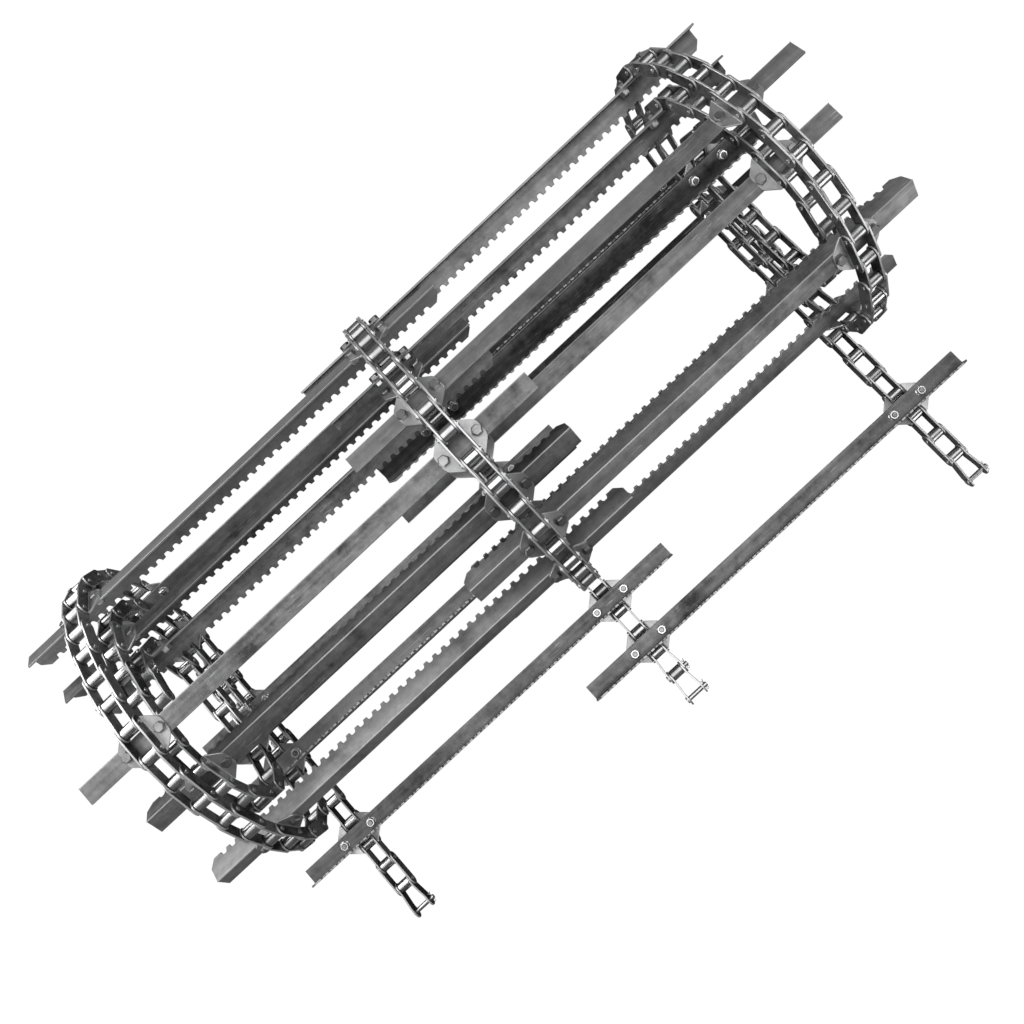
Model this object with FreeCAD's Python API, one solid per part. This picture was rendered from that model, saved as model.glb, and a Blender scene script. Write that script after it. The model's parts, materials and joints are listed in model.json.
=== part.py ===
# Conveyor chain mat of a crop elevator, rolled up for storage with its free end lying flat.
# Three strands of cranked-attachment roller chain run side by side and are tied by two
# staggered rows of serrated angle slats: one row spans the left and middle strands,
# the other the middle and right strands. Sizes are in millimetres.
# Frame: +X runs along the slats, the loose tail points to -Y and +Z is up.
import FreeCAD, Part
import math
import os

Vector = FreeCAD.Vector
Rotation = FreeCAD.Rotation
Placement = FreeCAD.Placement

# Strands and slat rows, counted in links: the last two are each strand's links past the first
# slat, and how many of those are offset links
pitch = 41.4
strand_spacing = 521.0
links_in_loop = 72
slat_every = 6
row_stagger = 2
tail_links = 2
fold_out_links = {"left": 3, "middle": 4, "right": 5}
offset_links = {"left": 1, "middle": 2, "right": 1}

# Link plates, counted outwards from the middle of a strand
plate_half_height = 10.1
plate_thickness = 2.6
inner_width = 19.8
plate_gap = 0.3
crank_length = 24.0

# Pins, bushes and rollers
pin_radius = 3.6
pin_overhang = 1.6
pin_head_radius = 5.2
pin_head_length = 2.2
bush_radius = 5.65
roller_radius = 8.35
roller_end_play = 0.2
running_gap = 0.05
roller_gap = 0.1
press_gap = 0.01
cotter_radius = 1.1
cotter_length = 13.0
cotter_eye = 4.0
cotter_gap = 0.1
cotter_pin_overhang = 6.5

# Attachment wings bent out of the outer plates towards the slat
wing_reach = 19.0
wing_root_half = 27.0
wing_tip_half = 11.5
wing_corner = 4.0
bolt_half_spacing = 27.0

# Serrated angle slats
slat_overhang_outside = 100.0
slat_overhang_inside = 115.0
slat_thickness = 3.0
slat_web = 26.0
slat_flange = 29.9
slat_bend = 4.0
bolt_to_flange = 13.3
slat_corner = 10.0
tooth_pitch = 15.5
notch_depth = 5.5
notch_mouth = 9.4
notch_floor = 5.0
toothless_end = 15.0

# Bolts and nuts
bolt_radius = 4.0
hole_clearance = 0.25
thread_gap = 0.05
hexagon_across_flats = 13.0
head_height = 5.3
nut_height = 6.5
nut_collar_radius = 7.4
nut_collar_height = 1.4
bolt_end_overhang = 1.6

# The rolled part repeats each shape many times, so its round forms have few flat sides
pin_sides = 8
barrel_sides = 12
rolled_gap = 0.3

# Run of the chain line through the roll, from the floor inwards:
# straight runs as lengths, bends as (radius, turn in degrees)
outer_winding = [371.0, (128, 80), (196, 50), (305, 40), (199, 50), (260, 40), (102, 100)]
second_winding = [238.0, (80, 80), (140, 55), (240, 45), (135, 60), (120, 20), (86, 100)]
core_winding = [120.0, (64, 80), (78, 80), (58, 70)]
chord_step = 0.5

# Places that follow from the sizes above
inner_face = inner_width / 2
inner_outside = inner_face + plate_thickness
outer_face = inner_outside + plate_gap
outer_outside = outer_face + plate_thickness
seat_height = plate_half_height
half_pitch = pitch / 2
tail_height = plate_half_height
bore_radius = pin_radius + running_gap
roller_half_length = inner_face - roller_end_play
strands = {"left": -strand_spacing, "middle": 0.0, "right": strand_spacing}
first_pin = {name: links_in_loop - 1 - folded for name, folded in fold_out_links.items()}


# The chain line as a row of close points, straight runs and arcs joined without a kink
def chain_line(winding):
    points = [(0.0, tail_height)]
    heading = 0.0
    for run in winding:
        y, z = points[-1]
        if isinstance(run, float):
            steps = math.ceil(run / chord_step)
            for i in range(1, steps + 1):
                points.append((y + run * i / steps, z))
            continue
        radius, turn = run
        steps = math.ceil(radius * math.radians(turn) / chord_step)
        centre_y = y - radius * math.sin(heading)
        centre_z = z + radius * math.cos(heading)
        for i in range(1, steps + 1):
            angle = heading + math.radians(turn) * i / steps
            place = (centre_y + radius * math.sin(angle), centre_z - radius * math.cos(angle))
            points.append(place)
        heading += math.radians(turn)
    return points


# Pin centres one pitch apart: the tail pins have numbers below zero
def pin_centres():
    line = chain_line(outer_winding + second_winding + core_winding)
    longest = max(fold_out_links.values())
    pins = {-i: (-i * pitch, tail_height) for i in range(longest + 2)}
    here = line[0]
    number = 0
    for before, after in zip(line, line[1:]):
        reach = math.dist(here, after)
        if reach < pitch:
            continue
        short = pitch - math.dist(here, before)
        share = short / (reach - math.dist(here, before))
        here = tuple(b + (a - b) * share for b, a in zip(before, after))
        number += 1
        pins[number] = here
        if number == max(first_pin.values()):
            break
    return pins


pins = pin_centres()


# Placement of link number j of a strand, whose pins have the numbers j-1 and j
def link_place(strand, j):
    (y0, z0), (y1, z1) = pins[j - 1], pins[j]
    turn = math.degrees(math.atan2(z1 - z0, y1 - y0))
    middle = Vector(strands[strand], (y0 + y1) / 2, (z0 + z1) / 2)
    return Placement(middle, Rotation(Vector(1, 0, 0), turn))


def placed(shapes, place):
    copies = [shape.copy() for shape in shapes]
    for copy in copies:
        copy.Placement = place.multiply(copy.Placement)
    return copies


def across(radius, x0, x1, y):
    return Part.makeCylinder(radius, x1 - x0, Vector(x0, y, 0), Vector(1, 0, 0))


def tube(outside, inside, half_length, y):
    return across(outside, -half_length, half_length, y).cut(across(inside, -half_length, half_length, y))


def prism_across(sides, radius, x0, x1, y):
    corners = []
    for i in range(sides + 1):
        angle = 2 * math.pi * (i + 0.5) / sides
        corners.append(Vector(x0, y + radius * math.cos(angle), radius * math.sin(angle)))
    return Part.Face(Part.makePolygon(corners)).extrude(Vector(x1 - x0, 0, 0))


def upright(radius, x, z0, z1):
    return Part.makeCylinder(radius, z1 - z0, Vector(x, 0, z0), Vector(0, 0, 1))


# Flat link plate with round ends about both pins, on one side of the strand
def round_plate(x0, side, thickness=plate_thickness):
    low, high = -plate_half_height, plate_half_height
    ends = [Vector(x0, -half_pitch, low), Vector(x0, half_pitch, low)]
    ends += [Vector(x0, half_pitch, high), Vector(x0, -half_pitch, high)]
    far = Vector(x0, half_pitch + plate_half_height, 0)
    near = Vector(x0, -half_pitch - plate_half_height, 0)
    edges = [Part.LineSegment(ends[0], ends[1]), Part.Arc(ends[1], far, ends[2])]
    edges += [Part.LineSegment(ends[2], ends[3]), Part.Arc(ends[3], near, ends[0])]
    outline = Part.Wire([edge.toShape() for edge in edges])
    return Part.Face(outline).extrude(Vector(side * thickness, 0, 0))


# The same plate for the roll, its round ends cut to three flats
def faceted_plate(x0, side):
    corner = plate_half_height * math.tan(math.pi / 8)
    reach = half_pitch + plate_half_height
    flat = half_pitch + corner
    outline = [(-flat, -plate_half_height), (flat, -plate_half_height), (reach, -corner)]
    outline += [(reach, corner), (flat, plate_half_height), (-flat, plate_half_height)]
    outline += [(-reach, corner), (-reach, -corner), (-flat, -plate_half_height)]
    wire = Part.makePolygon([Vector(x0, y, z) for y, z in outline])
    return Part.Face(wire).extrude(Vector(side * plate_thickness, 0, 0))


def pair(make, x0):
    return [make(x0, 1), make(-x0, -1)]


def bored(plates, radius, ys):
    drills = [across(radius, -2 * outer_outside, 2 * outer_outside, y) for y in ys]
    return [plate.cut(drills) for plate in plates]


# Wing that carries the slat, level with the upper edge of its plate
def wing(side, rounded):
    root = side * outer_face
    bend = side * outer_outside
    tip = side * (outer_outside + wing_reach)
    outline = [(root, -wing_root_half), (bend, -wing_root_half), (tip, -wing_tip_half)]
    outline += [(tip, wing_tip_half), (bend, wing_root_half), (root, wing_root_half)]
    low = seat_height - plate_thickness
    wire = Part.makePolygon([Vector(x, y, low) for x, y in outline + outline[:1]])
    blade = Part.Face(wire).extrude(Vector(0, 0, plate_thickness))
    if rounded:
        corners = [edge for edge in blade.Edges if runs_along(edge, "Z")]
        corners = [edge for edge in corners if abs(edge.CenterOfMass.x - tip) < 0.01]
        blade = blade.makeFillet(wing_corner, corners)
    return blade


def runs_along(edge, axis):
    return abs(getattr(edge.tangentAt(edge.FirstParameter), axis.lower())) > 0.99


def winged(plates, drilled):
    result = []
    for plate, side in zip(plates, (1, -1)):
        shape = plate.fuse(wing(side, rounded=drilled)).removeSplitter()
        if drilled:
            drill = upright(bolt_radius + hole_clearance, side * bolt_half_spacing, 0, 2 * seat_height)
            shape = shape.cut(drill)
        result.append(shape)
    return result


# Inner link: two plates on two pressed-in bushes
def inner_link():
    ys = (-half_pitch, half_pitch)
    plates = bored(pair(round_plate, inner_face), bush_radius + press_gap, ys)
    bushes = [tube(bush_radius, bore_radius, inner_outside, y) for y in ys]
    return plates + bushes


# Outer link: two plates on two riveted pins
def outer_link(with_wings=False):
    ys = (-half_pitch, half_pitch)
    plates = pair(round_plate, outer_face)
    if with_wings:
        plates = winged(plates, drilled=True)
    plates = bored(plates, pin_radius + press_gap, ys)
    reach = outer_outside + pin_overhang
    rivets = [across(pin_radius, -reach, reach, y) for y in ys]
    return plates + rivets


# Cranked plate of an offset link: narrow end at +Y on a bush, wide end at -Y on a pin
def cranked_plate(side):
    step_start = -crank_length / 2
    step_end = crank_length / 2
    reach = half_pitch + plate_half_height
    inside = [(outer_face, -reach), (outer_face, step_start), (inner_face, step_end), (inner_face, reach)]
    outside = [(x + plate_thickness, y) for x, y in reversed(inside)]
    corners = inside + outside + inside[:1]
    wire = Part.makePolygon([Vector(side * x, y, -plate_half_height) for x, y in corners])
    strip = Part.Face(wire).extrude(Vector(0, 0, 2 * plate_half_height))
    block = round_plate(0.0, side, outer_outside)
    plate = strip.common(block)
    plate = plate.cut(across(pin_radius + press_gap, -2 * outer_outside, 2 * outer_outside, -half_pitch))
    return plate.cut(across(bush_radius + press_gap, -2 * outer_outside, 2 * outer_outside, half_pitch))


def offset_link():
    return [cranked_plate(1), cranked_plate(-1), tube(bush_radius, bore_radius, inner_outside, half_pitch)]


# Removable pin of an offset link, with a head on the left and a hole for its cotter, which lies
# along the strand with its eye at the strand's end
def connecting_pin():
    end = outer_outside + cotter_pin_overhang
    shank = across(pin_radius, -outer_outside, end, -half_pitch)
    head = across(pin_head_radius, -outer_outside - pin_head_length, -outer_outside, -half_pitch)
    hole = Part.makeCylinder(cotter_radius + cotter_gap, 4 * pin_radius,
                             Vector(cotter_place(), -half_pitch - 2 * pin_radius, 0), Vector(0, 1, 0))
    return [shank.fuse(head).removeSplitter().cut(hole)]


def cotter_place():
    return outer_outside + cotter_pin_overhang / 2


# Cotter: a shank through the pin and a flat eye that stops it at the pin's side
def cotter():
    rim = -half_pitch - pin_radius
    shank = Part.makeCylinder(cotter_radius, cotter_length, Vector(cotter_place(), rim, 0), Vector(0, 1, 0))
    corner = Vector(cotter_place() - cotter_radius, rim - cotter_eye, -cotter_eye / 2)
    eye = Part.makeBox(2 * cotter_radius, cotter_eye, cotter_eye, corner)
    return [shank.fuse(eye).removeSplitter()]


def roller(y):
    return tube(roller_radius, bush_radius + roller_gap, roller_half_length, y)


# Outer link of the roll: its pins end on the plates' inner faces
def rolled_outer_link(with_wings=False):
    plates = pair(faceted_plate, outer_face)
    if with_wings:
        plates = winged(plates, drilled=False)
    ys = (-half_pitch, half_pitch)
    return plates + [prism_across(pin_sides, pin_radius, -outer_face, outer_face, y) for y in ys]


# Inner link of the roll: each bush and its roller are one barrel between the plates
def rolled_inner_link():
    ys = (-half_pitch, half_pitch)
    plates = pair(faceted_plate, inner_face)
    barrels = [prism_across(barrel_sides, roller_radius, -inner_face, inner_face, y) for y in ys]
    bore = (pin_radius + rolled_gap) / math.cos(math.pi / pin_sides)
    bores = [prism_across(pin_sides, bore, -outer_face, outer_face, y) for y in ys]
    return [piece.cut(bores) for piece in plates + barrels]


# Angle slat between two strands, with its web on the wings and its flange notched along the tip
def slat(x0, x1, drill_at=()):
    low, top = seat_height, seat_height + slat_flange
    face_y = -bolt_to_flange
    outline = [(x0, low), (x1, low), (x1, top - slat_corner), (x1 - slat_corner, top)]
    count = int((x1 - x0 - 2 * toothless_end) / tooth_pitch)
    first = (x0 + x1) / 2 + (count - 1) * tooth_pitch / 2
    for i in range(count):
        centre = first - i * tooth_pitch
        outline += [(centre + notch_mouth / 2, top), (centre + notch_floor / 2, top - notch_depth)]
        outline += [(centre - notch_floor / 2, top - notch_depth), (centre - notch_mouth / 2, top)]
    outline += [(x0 + slat_corner, top), (x0, top - slat_corner), (x0, low)]
    wire = Part.makePolygon([Vector(x, face_y, z) for x, z in outline])
    flange = Part.Face(wire).extrude(Vector(0, slat_thickness, 0))
    web = Part.makeBox(x1 - x0, slat_web, slat_thickness, Vector(x0, face_y, low))
    shape = flange.fuse(web).removeSplitter()
    heel = [edge for edge in shape.Edges if runs_along(edge, "X") and edge.CenterOfMass.z < low + 0.01]
    heel = [edge for edge in heel if edge.CenterOfMass.y < face_y + 0.01]
    shape = shape.makeFillet(slat_bend, heel)
    drills = [upright(bolt_radius + hole_clearance, x, 0, 2 * seat_height) for x in drill_at]
    return shape.cut(drills) if drills else shape


def hexagon(x, z0, z1):
    corner = hexagon_across_flats / math.sqrt(3)
    turns = [math.radians(60 * i + 30) for i in range(7)]
    wire = Part.makePolygon([Vector(x + corner * math.cos(a), corner * math.sin(a), z0) for a in turns])
    return Part.Face(wire).extrude(Vector(0, 0, z1 - z0))


def bolt(x):
    under = seat_height - plate_thickness
    end = seat_height + slat_thickness + nut_height + bolt_end_overhang
    return hexagon(x, under - head_height, under).fuse(upright(bolt_radius, x, under, end))


def nut(x):
    seat = seat_height + slat_thickness
    collar = upright(nut_collar_radius, x, seat, seat + nut_collar_height)
    body = hexagon(x, seat, seat + nut_height).fuse(collar)
    return body.cut(upright(bolt_radius + thread_gap, x, seat, seat + nut_height))


# The two slat rows: the strands that each ties, and where its slats lie on the chain
rows = {
    "left": {"strands": ("left", "middle"), "phase": 0, "tail_link": 0,
             "span": (-strand_spacing - slat_overhang_outside, slat_overhang_inside)},
    "right": {"strands": ("middle", "right"), "phase": slat_every - row_stagger, "tail_link": -row_stagger,
              "span": (-slat_overhang_inside, strand_spacing + slat_overhang_outside)},
}


def carries_slat(strand, j):
    return any(strand in row["strands"] and j % slat_every == row["phase"] for row in rows.values())


def bolt_places(row):
    return [strands[name] + side * bolt_half_spacing for name in row["strands"] for side in (-1, 1)]


def row_slat(row, drill_at=()):
    return [slat(*row["span"], drill_at)]


# The free ends at the core of the roll: bushes that take a connecting pin
def start_link(strand):
    if strand == "middle":
        return inner_link() + [roller(-half_pitch), roller(half_pitch)]
    return offset_link() + [roller(half_pitch)] + connecting_pin() + cotter()


# Everything that is wound up
def rolled_nodes():
    nodes = {"strand_start_links": []}
    shapes = {"inner": rolled_inner_link(), "outer": rolled_outer_link(),
              "slat": rolled_outer_link(with_wings=True)}
    for strand in strands:
        for kind in shapes:
            nodes["%s_rolled_%s_links" % (strand, kind)] = []
        for j in range(tail_links, first_pin[strand]):
            kind = "inner" if j % 2 else ("slat" if carries_slat(strand, j) else "outer")
            nodes["%s_rolled_%s_links" % (strand, kind)] += placed(shapes[kind], link_place(strand, j))
        place = link_place(strand, first_pin[strand])
        nodes["strand_start_links"] += placed(start_link(strand), place)
    for name, row in rows.items():
        bars = []
        for j in range(row["phase"] or slat_every, first_pin["middle"] + 1, slat_every):
            bars += placed(row_slat(row), link_place("middle", j))
        nodes[name + "_rolled_slats"] = bars
    return nodes


# One link of the loose tail, with the pieces that it carries, each under its own name
def tail_link(strand, j):
    number = tail_links - j
    rollers = {j: half_pitch, j - 1: -half_pitch}
    nodes = {}
    if j < offset_links[strand] - fold_out_links[strand]:
        link = offset_link()
        rollers = {j: half_pitch}
        nodes["%s_connecting_pin_%d" % (strand, number)] = connecting_pin()
        nodes["%s_cotter_%d" % (strand, number)] = cotter()
    elif j % 2:
        link = inner_link()
    else:
        link = outer_link(carries_slat(strand, j))
        rollers = {}
    for pin, y in rollers.items():
        if pin == tail_links - 1:
            link.append(roller(y))
        else:
            nodes["%s_roller_%d" % (strand, tail_links - 1 - pin)] = [roller(y)]
    nodes["%s_link_%d" % (strand, number)] = link
    return nodes


def tail_nodes():
    nodes = {}
    for strand, folded in fold_out_links.items():
        for j in range(tail_links - 1, -folded - 1, -1):
            place = link_place(strand, j)
            for name, shapes in tail_link(strand, j).items():
                nodes[name] = placed(shapes, place)
    for name, row in rows.items():
        place = link_place("middle", row["tail_link"])
        bolts_at = bolt_places(row)
        nodes[name + "_row_slat"] = placed(row_slat(row, bolts_at), place)
        nodes[name + "_row_bolts"] = placed([bolt(x) for x in bolts_at], place)
        nodes[name + "_row_nuts"] = placed([nut(x) for x in bolts_at], place)
    return nodes


# Stand the mat on z = 0 with its box centred over the origin, and write each piece
def write(nodes):
    boxes = [shape.BoundBox for shapes in nodes.values() for shape in shapes]
    centre_y = (min(box.YMin for box in boxes) + max(box.YMax for box in boxes)) / 2
    home = Placement(Vector(0, -centre_y, 0), Rotation())
    os.makedirs("parts", exist_ok=True)
    for name, shapes in nodes.items():
        Part.makeCompound(placed(shapes, home)).exportStep("parts/" + name + ".step")
    print("nodes", len(nodes), "pieces", len(boxes), "line starts at y", round(-centre_y, 4))


write({**rolled_nodes(), **tail_nodes()})
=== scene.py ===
# Looks of a rolled conveyor chain mat: plates, rollers, pins, slats and fasteners in worn steel,
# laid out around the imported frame, on a plain pale studio floor. Lengths are in metres.
import json
import math
import random

import bmesh
import bpy
from mathutils import Matrix, Vector


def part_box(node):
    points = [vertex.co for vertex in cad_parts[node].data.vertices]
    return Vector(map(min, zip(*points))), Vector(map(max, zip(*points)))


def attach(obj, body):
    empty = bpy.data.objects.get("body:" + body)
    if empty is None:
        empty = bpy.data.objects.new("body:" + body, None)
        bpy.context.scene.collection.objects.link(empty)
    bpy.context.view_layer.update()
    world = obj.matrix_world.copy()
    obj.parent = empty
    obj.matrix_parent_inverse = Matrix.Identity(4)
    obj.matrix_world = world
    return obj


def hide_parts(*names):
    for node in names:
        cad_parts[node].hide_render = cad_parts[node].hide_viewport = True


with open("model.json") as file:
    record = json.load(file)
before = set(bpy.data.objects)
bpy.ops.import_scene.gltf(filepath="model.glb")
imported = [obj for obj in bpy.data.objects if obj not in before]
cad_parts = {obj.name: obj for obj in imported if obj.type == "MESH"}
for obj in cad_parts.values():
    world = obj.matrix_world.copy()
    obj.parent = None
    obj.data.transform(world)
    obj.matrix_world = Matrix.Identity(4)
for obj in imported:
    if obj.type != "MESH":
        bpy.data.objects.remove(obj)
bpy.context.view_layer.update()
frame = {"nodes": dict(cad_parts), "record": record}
nodeBody = {node: body for body, nodes in frame["record"]["behaviour"]["bodies"].items() for node in nodes}
dice = random.Random(41)
print("frame loaded:", len(frame["nodes"]), "nodes")

tiny = 1e-6   # points closer than this are one point

# Where the links lie: straight runs as lengths, bends as (radius, turn in degrees)
layout = {
    "pitch": 0.0414,
    "strands": {"left": -0.521, "middle": 0.0, "right": 0.521},
    "linksInLoop": 72,
    "slatEvery": 6,
    "tailLinks": 2,
    "foldOutLinks": {"left": 3, "middle": 4, "right": 5},
    "offsetLinks": {"left": 1, "middle": 2, "right": 1},
    "lineHeight": 0.0101,
    "winding": [
        0.371, (0.128, 80), (0.196, 50), (0.305, 40), (0.199, 50), (0.260, 40), (0.102, 100),
        0.238, (0.080, 80), (0.140, 55), (0.240, 45), (0.135, 60), (0.120, 20), (0.086, 100),
        0.120, (0.064, 80), (0.078, 80), (0.058, 70),
    ],
    "step": 0.0005,
}
halfPitch = layout["pitch"] / 2
firstPin = {name: layout["linksInLoop"] - 1 - count for name, count in layout["foldOutLinks"].items()}
linePlace = sum(corner.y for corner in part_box("middle_roller_1")) / 2   # pin 0 of every strand


# The chain line as close points in the Y-Z plane, from pin 0 into the roll
def chainLine():
    points = [Vector((linePlace, layout["lineHeight"]))]
    heading = 0.0
    for run in layout["winding"]:
        start = points[-1]
        if isinstance(run, float):
            count = math.ceil(run / layout["step"])
            ahead = Vector((math.cos(heading), math.sin(heading)))
            points += [start + ahead * run * i / count for i in range(1, count + 1)]
            continue
        radius, turn = run[0], math.radians(run[1])
        count = math.ceil(radius * turn / layout["step"])
        centre = start + radius * Vector((-math.sin(heading), math.cos(heading)))
        for i in range(1, count + 1):
            angle = heading + turn * i / count
            points.append(centre + radius * Vector((math.sin(angle), -math.cos(angle))))
        heading += turn
    return points


# Pins one pitch apart along the line, and below zero along the tail
def pinCentres():
    tail = max(layout["foldOutLinks"].values()) + 1
    pins = {-i: Vector((linePlace - i * layout["pitch"], layout["lineHeight"])) for i in range(tail + 1)}
    line = chainLine()
    here, number = line[0], 0
    for before, after in zip(line, line[1:]):
        reach = (after - here).length
        if reach < layout["pitch"]:
            continue
        short = layout["pitch"] - (before - here).length
        here = before.lerp(after, short / (reach - (before - here).length))
        number += 1
        pins[number] = here
        if number == max(firstPin.values()):
            break
    return pins


pins = pinCentres()


# A link's own frame: X across, Y towards the inner end of the strand, Z towards the slats
def linkPlace(strand, j):
    near, far = pins[j - 1], pins[j]
    middle = (near + far) / 2
    turn = math.atan2(far.y - near.y, far.x - near.x)
    across = layout["strands"][strand]
    return Matrix.Translation((across, middle.x, middle.y)) @ Matrix.Rotation(turn, 4, "X")


print("chain line:", len(pins), "pins")


# A part is a mesh in its link's own frame; a face layer says how brightly a face is painted, both for cut
# or worn faces and for painted highlights
def newPart():
    part = bmesh.new()
    part.faces.layers.float.new("wearAndPaintedHighlight")
    return part


def markWearAndPaintedHighlight(part, faces, share=1.0):
    layer = part.faces.layers.float["wearAndPaintedHighlight"]
    for face in faces:
        face[layer] = share


def closePart(part, name):
    bmesh.ops.remove_doubles(part, verts=part.verts, dist=tiny)
    bmesh.ops.recalc_face_normals(part, faces=part.faces)
    mesh = bpy.data.meshes.new(name)
    part.to_mesh(mesh)
    part.free()
    return mesh


def grow(part, faces, shift):
    grown = bmesh.ops.extrude_face_region(part, geom=faces)["geom"]
    moved = [item for item in grown if isinstance(item, bmesh.types.BMVert)]
    bmesh.ops.translate(part, verts=moved, vec=shift)


def breakEdges(part, width, sharperThan=60):
    limit = math.radians(sharperThan)
    edges = [edge for edge in part.edges if len(edge.link_faces) == 2 and edge.calc_face_angle() > limit]
    bmesh.ops.bevel(part, geom=edges, offset=width, offset_type="OFFSET", segments=1, profile=0.5,
                    affect="EDGES", material=-1)


def mirrorCopy(part):
    copied = bmesh.ops.duplicate(part, geom=part.verts[:] + part.edges[:] + part.faces[:])["geom"]
    verts = [item for item in copied if isinstance(item, bmesh.types.BMVert)]
    bmesh.ops.scale(part, verts=verts, vec=(-1, 1, 1))


# Turned piece about an axis parallel to X: profile points are (x, radius)
def turned(part, profile, steps, y=0.0, closed=False):
    verts = [part.verts.new((x, 0, radius)) for x, radius in profile]
    pairs = list(zip(verts, verts[1:]))
    if closed:
        pairs.append((verts[-1], verts[0]))
    edges = [part.edges.new(pair) for pair in pairs]
    before = set(part.verts) - set(verts)
    bmesh.ops.spin(part, geom=verts + edges, cent=(0, 0, 0), axis=(1, 0, 0), angle=2 * math.pi,
                   steps=steps, use_merge=True)
    fresh = [vert for vert in part.verts if vert not in before]
    bmesh.ops.translate(part, verts=fresh, vec=(0, y, 0))
    return fresh


linkPlate = {
    "halfHeight": 0.0101,
    "thickness": 0.0026,
    "innerFace": 0.0099,
    "outerFace": 0.0128,
    "segments": 24,
    "rim": 0.0004,
    "crank": 0.012,
    "pinHole": 0.0036,
    "bushHole": 0.00565,
    "flat": 0.9,   # a face whose normal lies closer to X than this is a broad side
}
innerOutside = linkPlate["innerFace"] + linkPlate["thickness"]
outerOutside = linkPlate["outerFace"] + linkPlate["thickness"]
seat = linkPlate["halfHeight"]
facingX = Matrix.Rotation(math.pi / 2, 4, "Y")


# Flat plate with round ends, from a circle pulled apart at its middle
def plainSheet(part):
    segments = linkPlate["segments"]
    turn = facingX @ Matrix.Rotation(math.pi / segments, 4, "Z")
    ring = bmesh.ops.create_circle(part, cap_ends=True, segments=segments, radius=seat, matrix=turn)
    for vert in ring["verts"]:
        vert.co.y += math.copysign(halfPitch, vert.co.y)


# The same plate with its two holes: each end is a ring whose inner half is drawn to the middle line
def boredSheet(part, nearHole, farHole):
    segments = linkPlate["segments"]
    corner = math.pi / 2 - 2 * math.pi / segments
    for side, hole in ((-1, nearHole), (1, farHole)):
        rim = bmesh.ops.create_circle(part, segments=segments, radius=hole, matrix=facingX)["verts"]
        edge = bmesh.ops.create_circle(part, segments=segments, radius=seat, matrix=facingX)["verts"]
        edges = {item for vert in rim + edge for item in vert.link_edges}
        bmesh.ops.bridge_loops(part, edges=list(edges))
        for vert in edge:
            inwards = -side * vert.co.y
            if inwards > tiny:
                vert.co.z = seat * math.atan2(vert.co.z, inwards) / corner
                vert.co.y = -side * halfPitch
        bmesh.ops.translate(part, verts=rim + edge, vec=(0, side * halfPitch, 0))
    bmesh.ops.remove_doubles(part, verts=part.verts, dist=tiny)


def thickPlate(part, x):
    grow(part, part.faces[:], (linkPlate["thickness"], 0, 0))
    bmesh.ops.translate(part, verts=part.verts, vec=(x, 0, 0))


def finishPlate(part):
    breakEdges(part, linkPlate["rim"])
    bmesh.ops.recalc_face_normals(part, faces=part.faces)
    markWearAndPaintedHighlight(part, [face for face in part.faces if abs(face.normal.x) < linkPlate["flat"]])


def platePair(name, x, holes=None):
    part = newPart()
    if holes:
        boredSheet(part, *holes)
    else:
        plainSheet(part)
    thickPlate(part, x)
    bmesh.ops.recalc_face_normals(part, faces=part.faces)
    finishPlate(part)
    mirrorCopy(part)
    return closePart(part, name)


# Plates of an offset link: the wide end on a pin, the narrow end on a bush
def crankedPair(name):
    part = newPart()
    boredSheet(part, linkPlate["pinHole"], linkPlate["bushHole"])
    thickPlate(part, 0.0)
    for y in (-linkPlate["crank"], linkPlate["crank"]):
        everything = part.verts[:] + part.edges[:] + part.faces[:]
        bmesh.ops.bisect_plane(part, geom=everything, plane_co=(0, y, 0), plane_no=(0, 1, 0), dist=tiny)
    bmesh.ops.recalc_face_normals(part, faces=part.faces)
    finishPlate(part)
    for vert in part.verts:
        share = min(max((vert.co.y + linkPlate["crank"]) / (2 * linkPlate["crank"]), 0.0), 1.0)
        vert.co.x += linkPlate["outerFace"] + share * (linkPlate["innerFace"] - linkPlate["outerFace"])
    mirrorCopy(part)
    return closePart(part, name)


wing = {
    "reach": 0.019,
    "rootHalf": 0.027,
    "tipHalf": 0.0115,
    "bend": 0.0036,
    "bendSteps": 4,
    "tipRound": 0.0045,
    "tipSteps": 3,
    "sharpEdge": 50,
    "paintedLight": 0.55,
    "side": 0.3,
    "end": 0.9,
}


# Wing bent out of a plate: a strip drawn round the bend and out to its tip, then given its thickness
def addWing(part):
    low = seat - wing["bend"]
    ends = [part.verts.new((linkPlate["outerFace"], y, low)) for y in (-wing["rootHalf"], wing["rootHalf"])]
    root = part.edges.new(ends)
    centre = (linkPlate["outerFace"] + wing["bend"], 0, low)
    spun = bmesh.ops.spin(part, geom=ends + [root], cent=centre, axis=(0, 1, 0), angle=math.pi / 2,
                          steps=wing["bendSteps"])
    line = [item for item in spun["geom_last"] if isinstance(item, bmesh.types.BMEdge)]
    drawn = bmesh.ops.extrude_edge_only(part, edges=line)["geom"]
    tips = [item for item in drawn if isinstance(item, bmesh.types.BMVert)]
    reach = outerOutside + wing["reach"] - centre[0]
    bmesh.ops.translate(part, verts=tips, vec=(reach, 0, 0))
    bmesh.ops.scale(part, verts=tips, vec=(1, wing["tipHalf"] / wing["rootHalf"], 1))
    bmesh.ops.bevel(part, geom=tips, offset=wing["tipRound"], offset_type="OFFSET",
                    segments=wing["tipSteps"], profile=0.5, affect="VERTICES", material=-1)
    giveWall(part, linkPlate["thickness"], Vector((0, 0, 1)))


# Wall on the back of a sheet whose faces are first turned to look along the given direction
def giveWall(part, thickness, outwards):
    bmesh.ops.recalc_face_normals(part, faces=part.faces)
    part.normal_update()
    if sum(face.normal.dot(outwards) * face.calc_area() for face in part.faces) < 0:
        bmesh.ops.reverse_faces(part, faces=part.faces)
    bmesh.ops.solidify(part, geom=part.faces[:], thickness=thickness)
    bmesh.ops.recalc_face_normals(part, faces=part.faces)


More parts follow.
